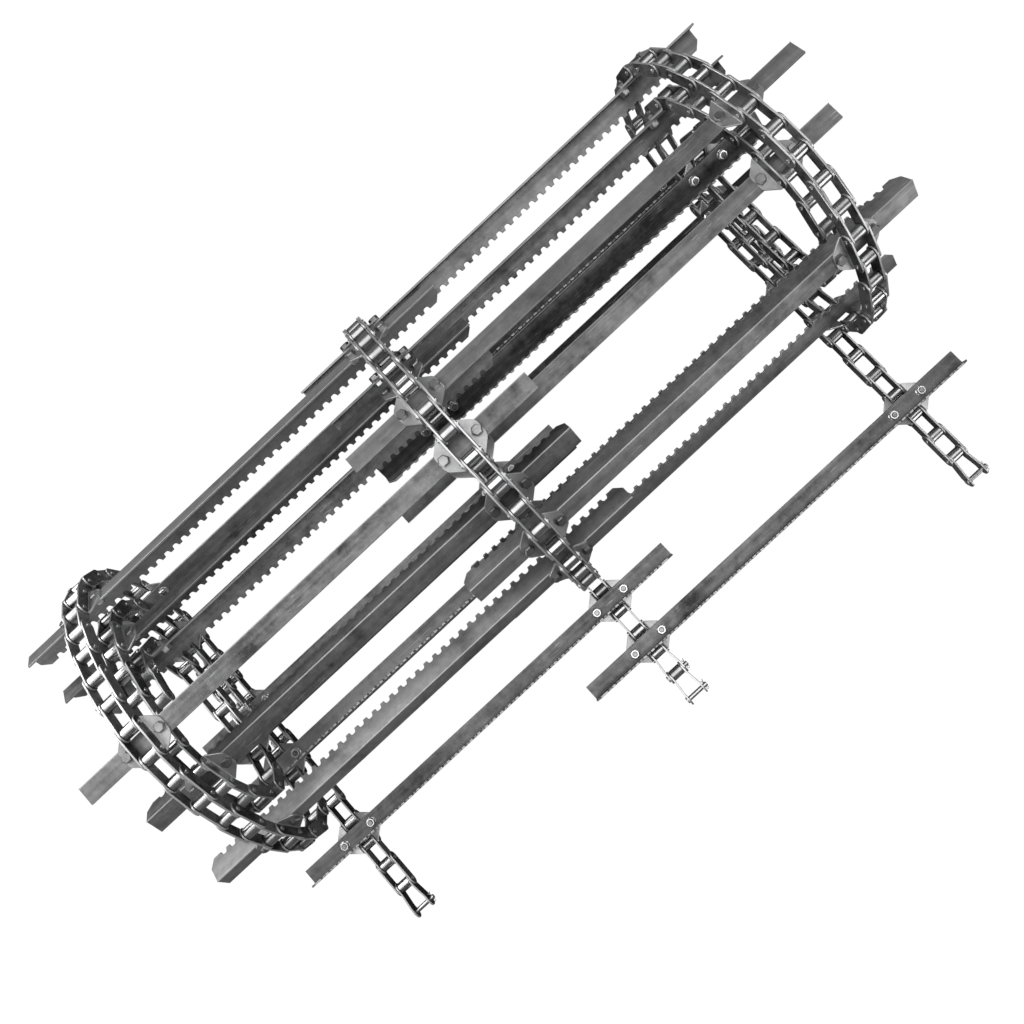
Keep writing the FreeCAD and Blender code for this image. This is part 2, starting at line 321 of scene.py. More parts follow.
def wingedPair(name, holes=None):
    part = newPart()
    if holes:
        boredSheet(part, *holes)
    else:
        plainSheet(part)
    thickPlate(part, linkPlate["outerFace"])
    everything = part.verts[:] + part.edges[:] + part.faces[:]
    cut = bmesh.ops.bisect_plane(part, geom=everything, plane_co=(0, 0, seat - wing["bend"]),
                                 plane_no=(0, 0, 1), dist=tiny, clear_outer=True)
    edges = [item for item in cut["geom_cut"] if isinstance(item, bmesh.types.BMEdge)]
    bmesh.ops.edgenet_fill(part, edges=edges)
    bmesh.ops.recalc_face_normals(part, faces=part.faces)
    finishPlate(part)
    blade = newPart()
    addWing(blade)
    breakEdges(blade, linkPlate["rim"], wing["sharpEdge"])
    bmesh.ops.recalc_face_normals(blade, faces=blade.faces)
    # Painted light: the wing's broad faces are painted lighter, as if lit from above; its cut sides and end
    # are bright worn edges
    markWearAndPaintedHighlight(blade, blade.faces, wing["paintedLight"])
    markWearAndPaintedHighlight(blade, [face for face in blade.faces
                    if abs(face.normal.y) > wing["side"] or face.normal.x > wing["end"]])
    mesh = closePart(blade, name + "_blade")
    part.from_mesh(mesh)
    bpy.data.meshes.remove(mesh)
    mirrorCopy(part)
    return closePart(part, name)


print("plates shaped")

roller = {
    "radius": 0.00835,
    "bore": 0.00575,
    "rolledGap": 0.0003,   # between a pin and the barrel that stands for bush and roller in the roll
    "halfLength": 0.0097,
    "chamfer": 0.0007,
    "steps": 24,
}
bush = {"radius": 0.00565, "bore": 0.00365, "steps": 20}
pin = {"radius": 0.0036, "overhang": 0.0016, "chamfer": 0.0006, "steps": 14}
joiner = {"headRadius": 0.0052, "headLength": 0.0022, "overhang": 0.0065, "steps": 20}


def rollerPart(name, ys, bore=roller["bore"]):
    part = newPart()
    end, chamfer, radius = roller["halfLength"], roller["chamfer"], roller["radius"]
    profile = [(-end, bore), (-end, radius - chamfer), (-end + chamfer, radius)]
    profile += [(-x, r) for x, r in reversed(profile)]
    for y in ys:
        turned(part, profile, roller["steps"], y, closed=True)
    return closePart(part, name)


def bushPart(name, ys):
    part = newPart()
    profile = [(-innerOutside, bush["bore"]), (-innerOutside, bush["radius"])]
    profile += [(-x, r) for x, r in reversed(profile)]
    for y in ys:
        turned(part, profile, bush["steps"], y, closed=True)
    return closePart(part, name)


# Riveted pins, their ends standing a little proud of the plates
def pinPart(name, ys):
    part = newPart()
    end, radius = outerOutside + pin["overhang"], pin["radius"]
    profile = [(-end, 0), (-end, radius - pin["chamfer"]), (-end + pin["chamfer"], radius)]
    profile += [(-x, r) for x, r in reversed(profile)]
    for y in ys:
        turned(part, profile, pin["steps"], y)
    return closePart(part, name)


# Removable pin with its head on the left, at the wide end of an offset link
def joinerPart(name):
    part = newPart()
    head, end, radius = -outerOutside, outerOutside + joiner["overhang"], pin["radius"]
    far, wide, chamfer = head - joiner["headLength"], joiner["headRadius"], pin["chamfer"]
    profile = [(far, 0), (far, wide - chamfer), (far + chamfer, wide), (head, wide), (head, radius)]
    profile += [(end - chamfer, radius), (end, radius - chamfer), (end, 0)]
    turned(part, profile, joiner["steps"], -halfPitch)
    return closePart(part, name)


cotter = {
    "x": outerOutside + joiner["overhang"] / 2,
    "wire": 0.00055,
    "wireSides": 8,
    "length": 0.013,
    "gap": 0.0002,
    "firstTip": {"spread": 0.0014, "rise": 0.0032},
    "lastTip": {"spread": 0.0018, "rise": 0.003, "above": 0.0042},
    "neck": {"spread": 0.0005, "rise": 0.0009},
    "eyeRadius": 0.0012,
    "eyeTurn": 300,
    "eyeSteps": 10,
}


# Split pin of one folded wire: up one leg, round the eye and down the other, its tips spread. It is
# drawn upright and then laid along the strand with its eye flat
def cotterPart(name):
    part = newPart()
    thick, top = cotter["wire"], pin["radius"] + cotter["gap"]
    foot = top - cotter["length"]
    firstTip, lastTip, neck = cotter["firstTip"], cotter["lastTip"], cotter["neck"]
    start = Matrix.Translation((0, -thick - firstTip["spread"], foot))
    tip = bmesh.ops.create_circle(part, cap_ends=True, segments=cotter["wireSides"], radius=thick,
                                  matrix=start)
    moves = [(0, firstTip["spread"], firstTip["rise"]), (0, 0, -foot + top - firstTip["rise"])]
    moves.append((0, -neck["spread"], neck["rise"]))
    face = tip["verts"][0].link_faces[0]
    faces = [face]
    for move in moves:
        grown = bmesh.ops.extrude_face_region(part, geom=faces)["geom"]
        verts = [item for item in grown if isinstance(item, bmesh.types.BMVert)]
        bmesh.ops.translate(part, verts=verts, vec=move)
        faces = [item for item in grown if isinstance(item, bmesh.types.BMFace)]
    centre = (0, 0, top + neck["rise"] + cotter["eyeRadius"])
    spun = bmesh.ops.spin(part, geom=faces, cent=centre, axis=(1, 0, 0),
                          angle=-math.radians(cotter["eyeTurn"]), steps=cotter["eyeSteps"])
    faces = [item for item in spun["geom_last"] if isinstance(item, bmesh.types.BMFace)]
    bmesh.ops.translate(part, verts=part.verts, vec=(cotter["x"], -halfPitch, 0))
    ring = dict.fromkeys(vert for face in faces for vert in face.verts)
    middle = sum((vert.co for vert in ring), Vector()) / max(len(ring), 1)
    legs = [(0, thick - (middle.y + halfPitch), top - middle.z), (0, 0, foot + lastTip["above"] - top)]
    legs.append((0, lastTip["spread"], -lastTip["rise"]))
    for move in legs:
        grown = bmesh.ops.extrude_face_region(part, geom=faces)["geom"]
        verts = [item for item in grown if isinstance(item, bmesh.types.BMVert)]
        bmesh.ops.translate(part, verts=verts, vec=move)
        faces = [item for item in grown if isinstance(item, bmesh.types.BMFace)]
    hub = Matrix.Translation((cotter["x"], -halfPitch, 0))
    quarter = math.pi / 2
    laid = hub @ Matrix.Rotation(quarter, 4, "X") @ Matrix.Rotation(quarter, 4, "Z") @ hub.inverted()
    bmesh.ops.transform(part, matrix=laid, verts=part.verts)
    return closePart(part, name)


print("rollers, bushes and pins turned")

slat = {
    "span": {"left": (-0.621, 0.115), "right": (-0.115, 0.621)},
    "strands": {"left": ("left", "middle"), "right": ("middle", "right")},
    "phase": {"left": 0, "right": 4},
    "tailLink": {"left": 0, "right": -2},
    "thickness": 0.003,
    "web": 0.026,
    "flange": 0.0299,
    "boltToFlange": 0.0133,
    "corner": 0.010,
    "toothPitch": 0.0155,
    "notchDepth": 0.0055,
    "notchHalf": 0.0047,
    "notchShape": [(1.0, 0.0), (0.93, 0.38), (0.8, 0.7), (0.62, 0.92), (0.38, 1.0)],   # half and depth
    "toothlessEnd": 0.015,
    "bend": 0.0015,
    "bendSteps": 3,
    "rim": 0.0004,
    "sharpEdge": 50,
    "smallFace": 6e-5,
    "askew": 0.2,   # least share of a normal across the slat's broad sides
    "upwards": 0.6,
    "notchShine": 0.3,
    "tipWearAndPaintedHighlight": 0.8,
    "heelPaintedHighlight": 0.5,
    "looseTone": 0.42,
}


# Angle slat: one notched cell of the flange is repeated along it, the flange's foot is drawn
# round the bend and out into the web, and the sheet is given its wall
def slatPart(name, x0, x1):
    part = newPart()
    y, low, top = -slat["boltToFlange"], seat + slat["bend"], seat + slat["flange"]
    count = int((x1 - x0 - 2 * slat["toothlessEnd"]) / slat["toothPitch"])
    half = slat["toothPitch"] / 2
    first = (x0 + x1) / 2 - (count - 1) * half
    outline = [(first - half, low), (first + half, low), (first + half, top)]
    notch = [(slat["notchHalf"] * across, top - slat["notchDepth"] * down)
             for across, down in slat["notchShape"]]
    outline += [(first + x, z) for x, z in notch] + [(first - x, z) for x, z in reversed(notch)]
    outline.append((first - half, top))
    cell = part.faces.new([part.verts.new((x, y, z)) for x, z in outline])
    for i in range(1, count):
        copied = bmesh.ops.duplicate(part, geom=[cell])["geom"]
        verts = [item for item in copied if isinstance(item, bmesh.types.BMVert)]
        bmesh.ops.translate(part, verts=verts, vec=(i * slat["toothPitch"], 0, 0))
    last = first + (2 * count - 1) * half
    for side, near, end in ((-1, first - half, x0), (1, last, x1)):
        outline = [(near, low), (end, low), (end, top - slat["corner"])]
        outline += [(end - side * slat["corner"], top), (near, top)]
        part.faces.new([part.verts.new((x, y, z)) for x, z in outline])
    bmesh.ops.remove_doubles(part, verts=part.verts, dist=tiny)
    foot = [edge for edge in part.edges if all(abs(vert.co.z - low) < tiny for vert in edge.verts)]
    verts = list(dict.fromkeys(vert for edge in foot for vert in edge.verts))
    spun = bmesh.ops.spin(part, geom=verts + foot, cent=(0, y + slat["bend"], low), axis=(1, 0, 0),
                          angle=math.pi / 2, steps=slat["bendSteps"])
    line = [item for item in spun["geom_last"] if isinstance(item, bmesh.types.BMEdge)]
    drawn = bmesh.ops.extrude_edge_only(part, edges=line)["geom"]
    verts = [item for item in drawn if isinstance(item, bmesh.types.BMVert)]
    bmesh.ops.translate(part, verts=verts, vec=(0, slat["web"] - slat["bend"], 0))
    bmesh.ops.remove_doubles(part, verts=part.verts, dist=tiny)
    giveWall(part, slat["thickness"], Vector((0, -1, -1)))
    breakEdges(part, slat["rim"], slat["sharpEdge"])
    bmesh.ops.recalc_face_normals(part, faces=part.faces)
    askew, limit = slat["askew"], top - slat["thickness"] / 4
    small = [face for face in part.faces
             if abs(face.normal.x) > askew or face.calc_area() < slat["smallFace"]]
    markWearAndPaintedHighlight(part, small, slat["notchShine"])
    # Tooth tips are painted brighter still: worn cut metal with a painted highlight
    tips = [face for face in small
            if face.normal.z > slat["upwards"] and face.calc_center_median().z > limit]
    markWearAndPaintedHighlight(part, tips, slat["tipWearAndPaintedHighlight"])
    # The outer face of the bend is painted lighter, a painted highlight along the heel
    heel = [face for face in part.faces if face.normal.y < -askew and face.normal.z < -askew]
    markWearAndPaintedHighlight(part, heel, slat["heelPaintedHighlight"])
    return closePart(part, name)


bolt = {
    "acrossFlats": 0.013,
    "cornerBreak": 0.0009,
    "radius": 0.004,
    "steps": 14,
    "headHeight": 0.0053,
    "faceInset": 0.0007,
    "faceRise": 0.0003,
    "faceDepth": 0.001,
    "faceSteps": 16,
    "endOverhang": 0.0016,
    "endChamfer": 0.0008,
    "halfSpacing": 0.027,
}
nut = {
    "height": 0.0065,
    "collarRadius": 0.0074,
    "collarHeight": 0.0014,
    "collarSlope": 0.0012,
    "steps": 20,
    "faceInset": 0.0006,
    "faceRise": 0.0002,
    "faceDepth": 0.001,
    "faceChamfer": 0.0003,
    "brightRim": 0.0013,
    "mouth": 0.0005,
    "throat": 0.0002,
}
upright = Matrix.Rotation(-math.pi / 2, 4, "Y")   # turns the X axis up to Z


# Hexagon between two heights with its outer corners turned off
def addHexagon(part, z0, z1, outwards):
    radius = bolt["acrossFlats"] / math.sqrt(3)
    middle = Matrix.Translation((0, 0, (z0 + z1) / 2)) @ Matrix.Rotation(math.pi / 6, 4, "Z")
    made = bmesh.ops.create_cone(part, cap_ends=True, segments=6, radius1=radius, radius2=radius,
                                 depth=z1 - z0, matrix=middle)
    outer = z1 if outwards > 0 else z0
    rim = dict.fromkeys(edge for vert in made["verts"] for edge in vert.link_edges)
    rim = [edge for edge in rim if all(abs(vert.co.z - outer) < tiny for vert in edge.verts)]
    bmesh.ops.bevel(part, geom=rim, offset=bolt["cornerBreak"], offset_type="OFFSET", segments=1,
                    profile=0.5, affect="EDGES", material=-1)


def addUpright(part, profile, steps, closed=False):
    fresh = turned(part, profile, steps, closed=closed)
    bmesh.ops.transform(part, matrix=upright, verts=fresh)


def boltPart(name, xs):
    part = newPart()
    under = seat - linkPlate["thickness"]
    end = seat + slat["thickness"] + nut["height"] + bolt["endOverhang"]
    face = under - bolt["headHeight"]
    addHexagon(part, face, under, -1)
    disc, rise = bolt["acrossFlats"] / 2 - bolt["faceInset"], bolt["faceRise"]
    raised = [(face - rise, 0), (face - rise, disc - rise), (face, disc)]
    raised += [(face + bolt["faceDepth"], disc), (face + bolt["faceDepth"], 0)]
    addUpright(part, raised, bolt["faceSteps"])
    radius, chamfer = bolt["radius"], bolt["endChamfer"]
    shank = [(under, radius), (end - chamfer, radius), (end, radius - chamfer), (end, 0)]
    addUpright(part, shank, bolt["steps"])
    return spreadPart(part, name, xs)


def nutPart(name, xs):
    part = newPart()
    base = seat + slat["thickness"]
    top = base + nut["height"]
    wide, high, radius = nut["collarRadius"], nut["collarHeight"], bolt["radius"]
    addHexagon(part, base + high / 2, top, 1)
    collar = [(base, radius), (base, wide), (base + high / 2, wide)]
    collar += [(base + high, wide - nut["collarSlope"]), (base + high, radius)]
    addUpright(part, collar, nut["steps"], closed=True)
    disc, rise, depth = bolt["acrossFlats"] / 2 - nut["faceInset"], nut["faceRise"], nut["faceDepth"]
    limit = disc - nut["brightRim"]
    ring = [(top - depth, disc), (top - rise, disc), (top + rise, disc - nut["faceChamfer"])]
    ring += [(top + rise, limit), (top + rise, radius + nut["mouth"])]
    ring += [(top - depth, radius + nut["throat"])]
    addUpright(part, ring, nut["steps"], closed=True)
    markWearAndPaintedHighlight(part, [face for face in part.faces if face.calc_center_median().xy.length > limit])
    return spreadPart(part, name, xs)


def spreadPart(part, name, xs):
    source = part.verts[:] + part.edges[:] + part.faces[:]
    for x in xs[1:]:
        copied = bmesh.ops.duplicate(part, geom=source)["geom"]
        verts = [item for item in copied if isinstance(item, bmesh.types.BMVert)]
        bmesh.ops.translate(part, verts=verts, vec=(x - xs[0], 0, 0))
    bmesh.ops.translate(part, verts=part.verts, vec=(xs[0], 0, 0))
    return closePart(part, name)


def boltPlaces(row):
    sides = (-bolt["halfSpacing"], bolt["halfSpacing"])
    return [layout["strands"][strand] + side for strand in slat["strands"][row] for side in sides]


print("slats, bolts and nuts shaped")


# Effects shared by the steels, each a node group with named sockets
def newGroup(name, inputs, outputs):
    group = bpy.data.node_groups.new(name, "ShaderNodeTree")
    for socket, value in inputs.items():
        made = group.interface.new_socket(name=socket, in_out="INPUT", socket_type="NodeSocketFloat")
        made.default_value = value
    for socket, kind in outputs.items():
        group.interface.new_socket(name=socket, in_out="OUTPUT", socket_type=kind)
    return group, group.nodes.new("NodeGroupInput"), group.nodes.new("NodeGroupOutput")


def wire(tree, source, target):
    tree.links.new(source, target)


def mathNode(tree, operation, first, second, clamp=False):
    node = tree.nodes.new("ShaderNodeMath")
    node.operation = operation
    node.use_clamp = clamp
    for socket, value in zip(node.inputs, (first, second)):
        if isinstance(value, (int, float)):
            socket.default_value = value
        else:
            wire(tree, value, socket)
    return node.outputs[0]


def noiseNode(tree, place, scale, detail=4.0, roughness=0.55):
    node = tree.nodes.new("ShaderNodeTexNoise")
    node.inputs["Detail"].default_value = detail
    node.inputs["Roughness"].default_value = roughness
    wire(tree, place, node.inputs["Vector"])
    if isinstance(scale, (int, float)):
        node.inputs["Scale"].default_value = scale
    else:
        wire(tree, scale, node.inputs["Scale"])
    return node.outputs["Fac"]


def rangeNode(tree, value, low, high, outLow=0.0, outHigh=1.0):
    node = tree.nodes.new("ShaderNodeMapRange")
    wire(tree, value, node.inputs["Value"])
    for socket, number in zip(("From Min", "From Max", "To Min", "To Max"), (low, high, outLow, outHigh)):
        node.inputs[socket].default_value = number
    return node.outputs["Result"]


def stretched(tree, place, scale, turn=(0, 0, 0)):
    node = tree.nodes.new("ShaderNodeMapping")
    node.inputs["Scale"].default_value = scale
    node.inputs["Rotation"].default_value = turn
    wire(tree, place, node.inputs["Vector"])
    return node.outputs["Vector"]


mottleNoise = {
    "broadDetail": 3.0,
    "fineScale": 9.0,
    "fineDetail": 5.0,
    "fineRoughness": 0.7,
    "streakStretch": (2, 110, 110),
    "streakDetail": 3.0,
    "stainScale": 1.7,
    "stainDetail": 6.0,
    "stainRoughness": 0.6,
    "stainRange": (0.55, 0.68),
}
scratchNoise = {
    "stretches": [((3, 420, 420), (0.0, 0.01, 0.02)), ((40, 420, 420), (0.3, 0.2, 0.5))],
    "lineDetail": 2.0,
    "lineRange": (0.64, 0.72),
    "patchScale": 22.0,
    "patchDetail": 2.0,
    "patchRange": (0.45, 0.7),
    "speckScale": 650.0,
    "speckDetail": 1.0,
    "speckRange": (0.7, 0.76),
}
grainNoise = {"detail": 3.0, "dentScale": 70.0, "dentDetail": 2.0}


# Cloudy tone of scale and oil, from 0 to 1 about a middle of a half, with lengthwise streaks of the
# rolling mill and darker stains in patches
def makeMottle():
    sockets = {"Scale": 30.0, "Broad": 1.6, "Fine": 0.35, "Streaks": 0.0, "Stains": 0.3}
    group, taken, given = newGroup("steelMottle", sockets, {"Tone": "NodeSocketFloat"})
    place = group.nodes.new("ShaderNodeTexCoord").outputs["Object"]
    look, scale = mottleNoise, taken.outputs["Scale"]
    broad = noiseNode(group, place, scale, look["broadDetail"])
    fineScale = mathNode(group, "MULTIPLY", scale, look["fineScale"])
    fine = noiseNode(group, place, fineScale, look["fineDetail"], look["fineRoughness"])
    streaks = noiseNode(group, stretched(group, place, look["streakStretch"]), 1.0, look["streakDetail"])
    tone = 0.5
    for noise, socket in ((broad, "Broad"), (fine, "Fine"), (streaks, "Streaks")):
        share = mathNode(group, "MULTIPLY", mathNode(group, "SUBTRACT", noise, 0.5), taken.outputs[socket])
        tone = mathNode(group, "ADD", share, tone)
    stainScale = mathNode(group, "MULTIPLY", scale, look["stainScale"])
    patches = noiseNode(group, place, stainScale, look["stainDetail"], look["stainRoughness"])
    stains = rangeNode(group, patches, *look["stainRange"])
    stained = mathNode(group, "MULTIPLY", stains, taken.outputs["Stains"])
    tone = mathNode(group, "SUBTRACT", tone, stained, clamp=True)
    wire(group, tone, given.inputs["Tone"])
    return group


# Thin bright scratches lengthwise and across, and specks, 1 where the steel is rubbed
def makeScratches():
    group, taken, given = newGroup("steelScratches", {"Density": 0.5}, {"Mask": "NodeSocketFloat"})
    place = group.nodes.new("ShaderNodeTexCoord").outputs["Object"]
    look, masks = scratchNoise, []
    for scale, turn in look["stretches"]:
        lines = noiseNode(group, stretched(group, place, scale, turn), 1.0, look["lineDetail"])
        masks.append(rangeNode(group, lines, *look["lineRange"]))
    patches = noiseNode(group, place, look["patchScale"], look["patchDetail"])
    patches = rangeNode(group, patches, *look["patchRange"])
    specks = noiseNode(group, place, look["speckScale"], look["speckDetail"])
    specks = rangeNode(group, specks, *look["speckRange"])
    both = mathNode(group, "MAXIMUM", mathNode(group, "MAXIMUM", *masks), specks)
    mask = mathNode(group, "MULTIPLY", mathNode(group, "MULTIPLY", both, patches), taken.outputs["Density"])
    wire(group, mask, given.inputs["Mask"])
    return group


# Surface height of rolled or ground steel: fine grain with shallow dents
def makeGrain():
    sockets = {"Scale": 900.0, "Dents": 0.5}
    group, taken, given = newGroup("steelGrain", sockets, {"Height": "NodeSocketFloat"})
    place = group.nodes.new("ShaderNodeTexCoord").outputs["Object"]
    grain = noiseNode(group, place, taken.outputs["Scale"], grainNoise["detail"])
    dents = noiseNode(group, place, grainNoise["dentScale"], grainNoise["dentDetail"])
    height = mathNode(group, "ADD", mathNode(group, "MULTIPLY", dents, taken.outputs["Dents"]), grain)
    wire(group, height, given.inputs["Height"])
    return group


mottle, scratches, grain = makeMottle(), makeScratches(), makeGrain()

finishes = {
    "linkSteel": {
        "dark": 0.02, "light": 0.27, "edge": 0.62,
        "metallic": 0.8, "roughness": 0.37, "scratch": 0.4, "bump": 0.15,
        "mottle": {"Scale": 42.0, "Broad": 1.6, "Fine": 1.6, "Streaks": 0.0, "Stains": 0.5},
        "grain": {"Scale": 900.0, "Dents": 0.4},
    },
    "slatSteel": {
        "dark": 0.03, "light": 0.29, "edge": 0.6,
        "metallic": 0.6, "roughness": 0.44, "scratch": 0.6, "bump": 0.12,
        "mottle": {"Scale": 7.0, "Broad": 0.9, "Fine": 0.9, "Streaks": 0.7, "Stains": 0.3},
        "grain": {"Scale": 700.0, "Dents": 0.8},
    },
    "rollerSteel": {
        "dark": 0.36, "light": 0.62, "edge": 0.6,
        "metallic": 1.0, "roughness": 0.27, "scratch": 0.05, "bump": 0.03,
        "mottle": {"Scale": 60.0, "Broad": 1.6, "Fine": 0.2, "Streaks": 0.0, "Stains": 0.2},
        "grain": {"Scale": 1500.0, "Dents": 0.1},
    },
    "pinSteel": {
        "dark": 0.35, "light": 0.6, "edge": 0.7,
        "metallic": 1.0, "roughness": 0.3, "scratch": 0.1, "bump": 0.05,
        "mottle": {"Scale": 60.0, "Broad": 1.6, "Fine": 0.3, "Streaks": 0.0, "Stains": 0.2},
        "grain": {"Scale": 1500.0, "Dents": 0.1},
    },
    "boltSteel": {
        "dark": 0.16, "light": 0.36, "edge": 0.5,
        "metallic": 0.9, "roughness": 0.36, "scratch": 0.3, "bump": 0.1,
        "mottle": {"Scale": 60.0, "Broad": 1.6, "Fine": 0.8, "Streaks": 0.0, "Stains": 0.3},
        "grain": {"Scale": 1200.0, "Dents": 0.2},
    },
    "nutSteel": {
        "dark": 0.25, "light": 0.4, "edge": 0.95,
        "metallic": 0.95, "roughness": 0.3, "scratch": 0.1, "bump": 0.05,
        "mottle": {"Scale": 60.0, "Broad": 1.6, "Fine": 0.3, "Streaks": 0.0, "Stains": 0.1},
        "grain": {"Scale": 1500.0, "Dents": 0.1},
    },
}


steelMix = {
    "cool": 1.01,
    "ownTone": 0.85,
    "wearAndPaintedHighlightShare": 0.85,
    "dullest": 0.08,
    "shiniest": 0.06,
    "bumpDepth": 0.0004,
    "sharpAngle": 34,
}


def grey(value):
    return (value, value, value * steelMix["cool"], 1.0)


def mixColour(tree, share, first, second):
    node = tree.nodes.new("ShaderNodeMix")
    node.data_type = "RGBA"
    wire(tree, share, node.inputs["Factor"])
    for socket, value in ((node.inputs[6], first), (node.inputs[7], second)):   # its colour sockets
        if isinstance(value, tuple):
            socket.default_value = value
        else:
            wire(tree, value, socket)
    return node.outputs[2]


def attribute(tree, name):
    node = tree.nodes.new("ShaderNodeAttribute")
    node.attribute_name = name
    return node.outputs["Fac"]


def placeGroup(tree, group, output, values):
    node = tree.nodes.new("ShaderNodeGroup")
    node.node_tree = group
    for socket, value in values.items():
        node.inputs[socket].default_value = value
    return node.outputs[output]


def makeSteel(name, look):
    material = bpy.data.materials.new(name)
    material.use_nodes = True
    tree = material.node_tree
    shader = tree.nodes["Principled BSDF"]
    tone = placeGroup(tree, mottle, "Tone", look["mottle"])
    own = mathNode(tree, "SUBTRACT", attribute(tree, "tone"), 0.5)
    own = mathNode(tree, "MULTIPLY", own, steelMix["ownTone"])
    tone = mathNode(tree, "ADD", tone, own, clamp=True)
    rubbed = placeGroup(tree, scratches, "Mask", {"Density": look["scratch"]})
    # Light edge colour where faces are cut or rubbed, and painted highlights where the parts marked faces
    # as lit
    cut = attribute(tree, "wearAndPaintedHighlight")
    wearAndPaintedHighlightMask = mathNode(tree, "MAXIMUM", mathNode(tree, "MULTIPLY", cut, steelMix["wearAndPaintedHighlightShare"]), rubbed)
    colour = mixColour(tree, tone, grey(look["dark"]), grey(look["light"]))
    colour = mixColour(tree, wearAndPaintedHighlightMask, colour, grey(look["edge"]))
    wire(tree, colour, shader.inputs["Base Color"])
    dull, shiny = look["roughness"] + steelMix["dullest"], look["roughness"] - steelMix["shiniest"]
    wire(tree, rangeNode(tree, tone, 0.0, 1.0, dull, shiny), shader.inputs["Roughness"])
    shader.inputs["Metallic"].default_value = look["metallic"]
    bump = tree.nodes.new("ShaderNodeBump")
    bump.inputs["Strength"].default_value = look["bump"]
    bump.inputs["Distance"].default_value = steelMix["bumpDepth"]
    height = placeGroup(tree, grain, "Height", look["grain"])
    wire(tree, height, bump.inputs["Height"])
    wire(tree, bump.outputs["Normal"], shader.inputs["Normal"])
    return material


steels = {name: makeSteel(name, look) for name, look in finishes.items()}
print("materials:", len(steels))


# One piece of the scene: copies of a part at its places, each copy with a tone of its own
def layOut(name, partMesh, places, finish, body, *nodes, ownTone=None):
    copies = bmesh.new()
    copies.faces.layers.float.new("wearAndPaintedHighlight")
    tone = copies.faces.layers.float.new("tone")
    for place in places:
        verts, faces = len(copies.verts), len(copies.faces)
        copies.from_mesh(partMesh)
        copies.verts.ensure_lookup_table()
        copies.faces.ensure_lookup_table()
        bmesh.ops.transform(copies, matrix=place, verts=copies.verts[verts:])
        own = dice.random() if ownTone is None else ownTone
        for face in copies.faces[faces:]:
            face[tone] = own
    mesh = bpy.data.meshes.new(name)
    copies.to_mesh(mesh)
    copies.free()
    mesh.shade_smooth()
    mesh.set_sharp_from_angle(angle=math.radians(steelMix["sharpAngle"]))
    mesh.materials.append(steels[finish])
    piece = bpy.data.objects.new(name, mesh)
    bpy.context.scene.collection.objects.link(piece)
    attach(piece, body)
    if nodes:
        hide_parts(*nodes)
    return piece


bothPins = (-halfPitch, halfPitch)
rolledBore = pin["radius"] + roller["rolledGap"]
bushHoles, pinHoles = (linkPlate["bushHole"],) * 2, (linkPlate["pinHole"],) * 2
parts = {
    "innerPlates": platePair("innerPlates", linkPlate["innerFace"]),
    "outerPlates": platePair("outerPlates", linkPlate["outerFace"]),
    "wingedPlates": wingedPair("wingedPlates"),
    "boredInner": platePair("boredInner", linkPlate["innerFace"], bushHoles),
    "boredOuter": platePair("boredOuter", linkPlate["outerFace"], pinHoles),
    "boredWinged": wingedPair("boredWinged", pinHoles),
    "cranked": crankedPair("cranked"),
    "rolledRollers": rollerPart("rolledRollers", bothPins, rolledBore),
    "roller": rollerPart("roller", (0.0,)),
    "bushes": bushPart("bushes", bothPins),
    "farBush": bushPart("farBush", (halfPitch,)),
    "pins": pinPart("pins", bothPins),
    "joiner": joinerPart("joiner"),
    "cotter": cotterPart("cotter"),
}
for row, span in slat["span"].items():
    parts[row + "Slat"] = slatPart(row + "Slat", *span)
    parts[row + "Bolts"] = boltPart(row + "Bolts", boltPlaces(row))
    parts[row + "Nuts"] = nutPart(row + "Nuts", boltPlaces(row))


def carriesSlat(strand, j):
    rows = [row for row, tied in slat["strands"].items() if strand in tied]
    return any(j % layout["slatEvery"] == slat["phase"][row] for row in rows)


# The roll: every strand's links by kind, then the slats with their bolts and nuts
for strand in layout["strands"]:
    rolled = range(layout["tailLinks"], firstPin[strand])
    inner = [linkPlace(strand, j) for j in rolled if j % 2]
    winged = [linkPlace(strand, j) for j in rolled if not j % 2 and carriesSlat(strand, j)]
    outer = [linkPlace(strand, j) for j in rolled if not j % 2 and not carriesSlat(strand, j)]
    layOut(strand + "_inner_plates", parts["innerPlates"], inner, "linkSteel", "roll",
           strand + "_rolled_inner_links")
    layOut(strand + "_outer_plates", parts["outerPlates"], outer, "linkSteel", "roll",
           strand + "_rolled_outer_links")
    layOut(strand + "_winged_plates", parts["wingedPlates"], winged, "linkSteel", "roll",
           strand + "_rolled_slat_links")
    layOut(strand + "_rollers", parts["rolledRollers"], inner, "rollerSteel", "roll")
    layOut(strand + "_pins", parts["pins"], outer + winged, "pinSteel", "roll")
for row in slat["span"]:
    first = slat["phase"][row] or layout["slatEvery"]
    places = [linkPlace("middle", j) for j in range(first, firstPin["middle"] + 1, layout["slatEvery"])]
    layOut(row + "_slats", parts[row + "Slat"], places, "slatSteel", "roll", row + "_rolled_slats")
    layOut(row + "_bolts", parts[row + "Bolts"], places, "boltSteel", "roll")
    layOut(row + "_nuts", parts[row + "Nuts"], places, "nutSteel", "roll")
print("roll laid out")

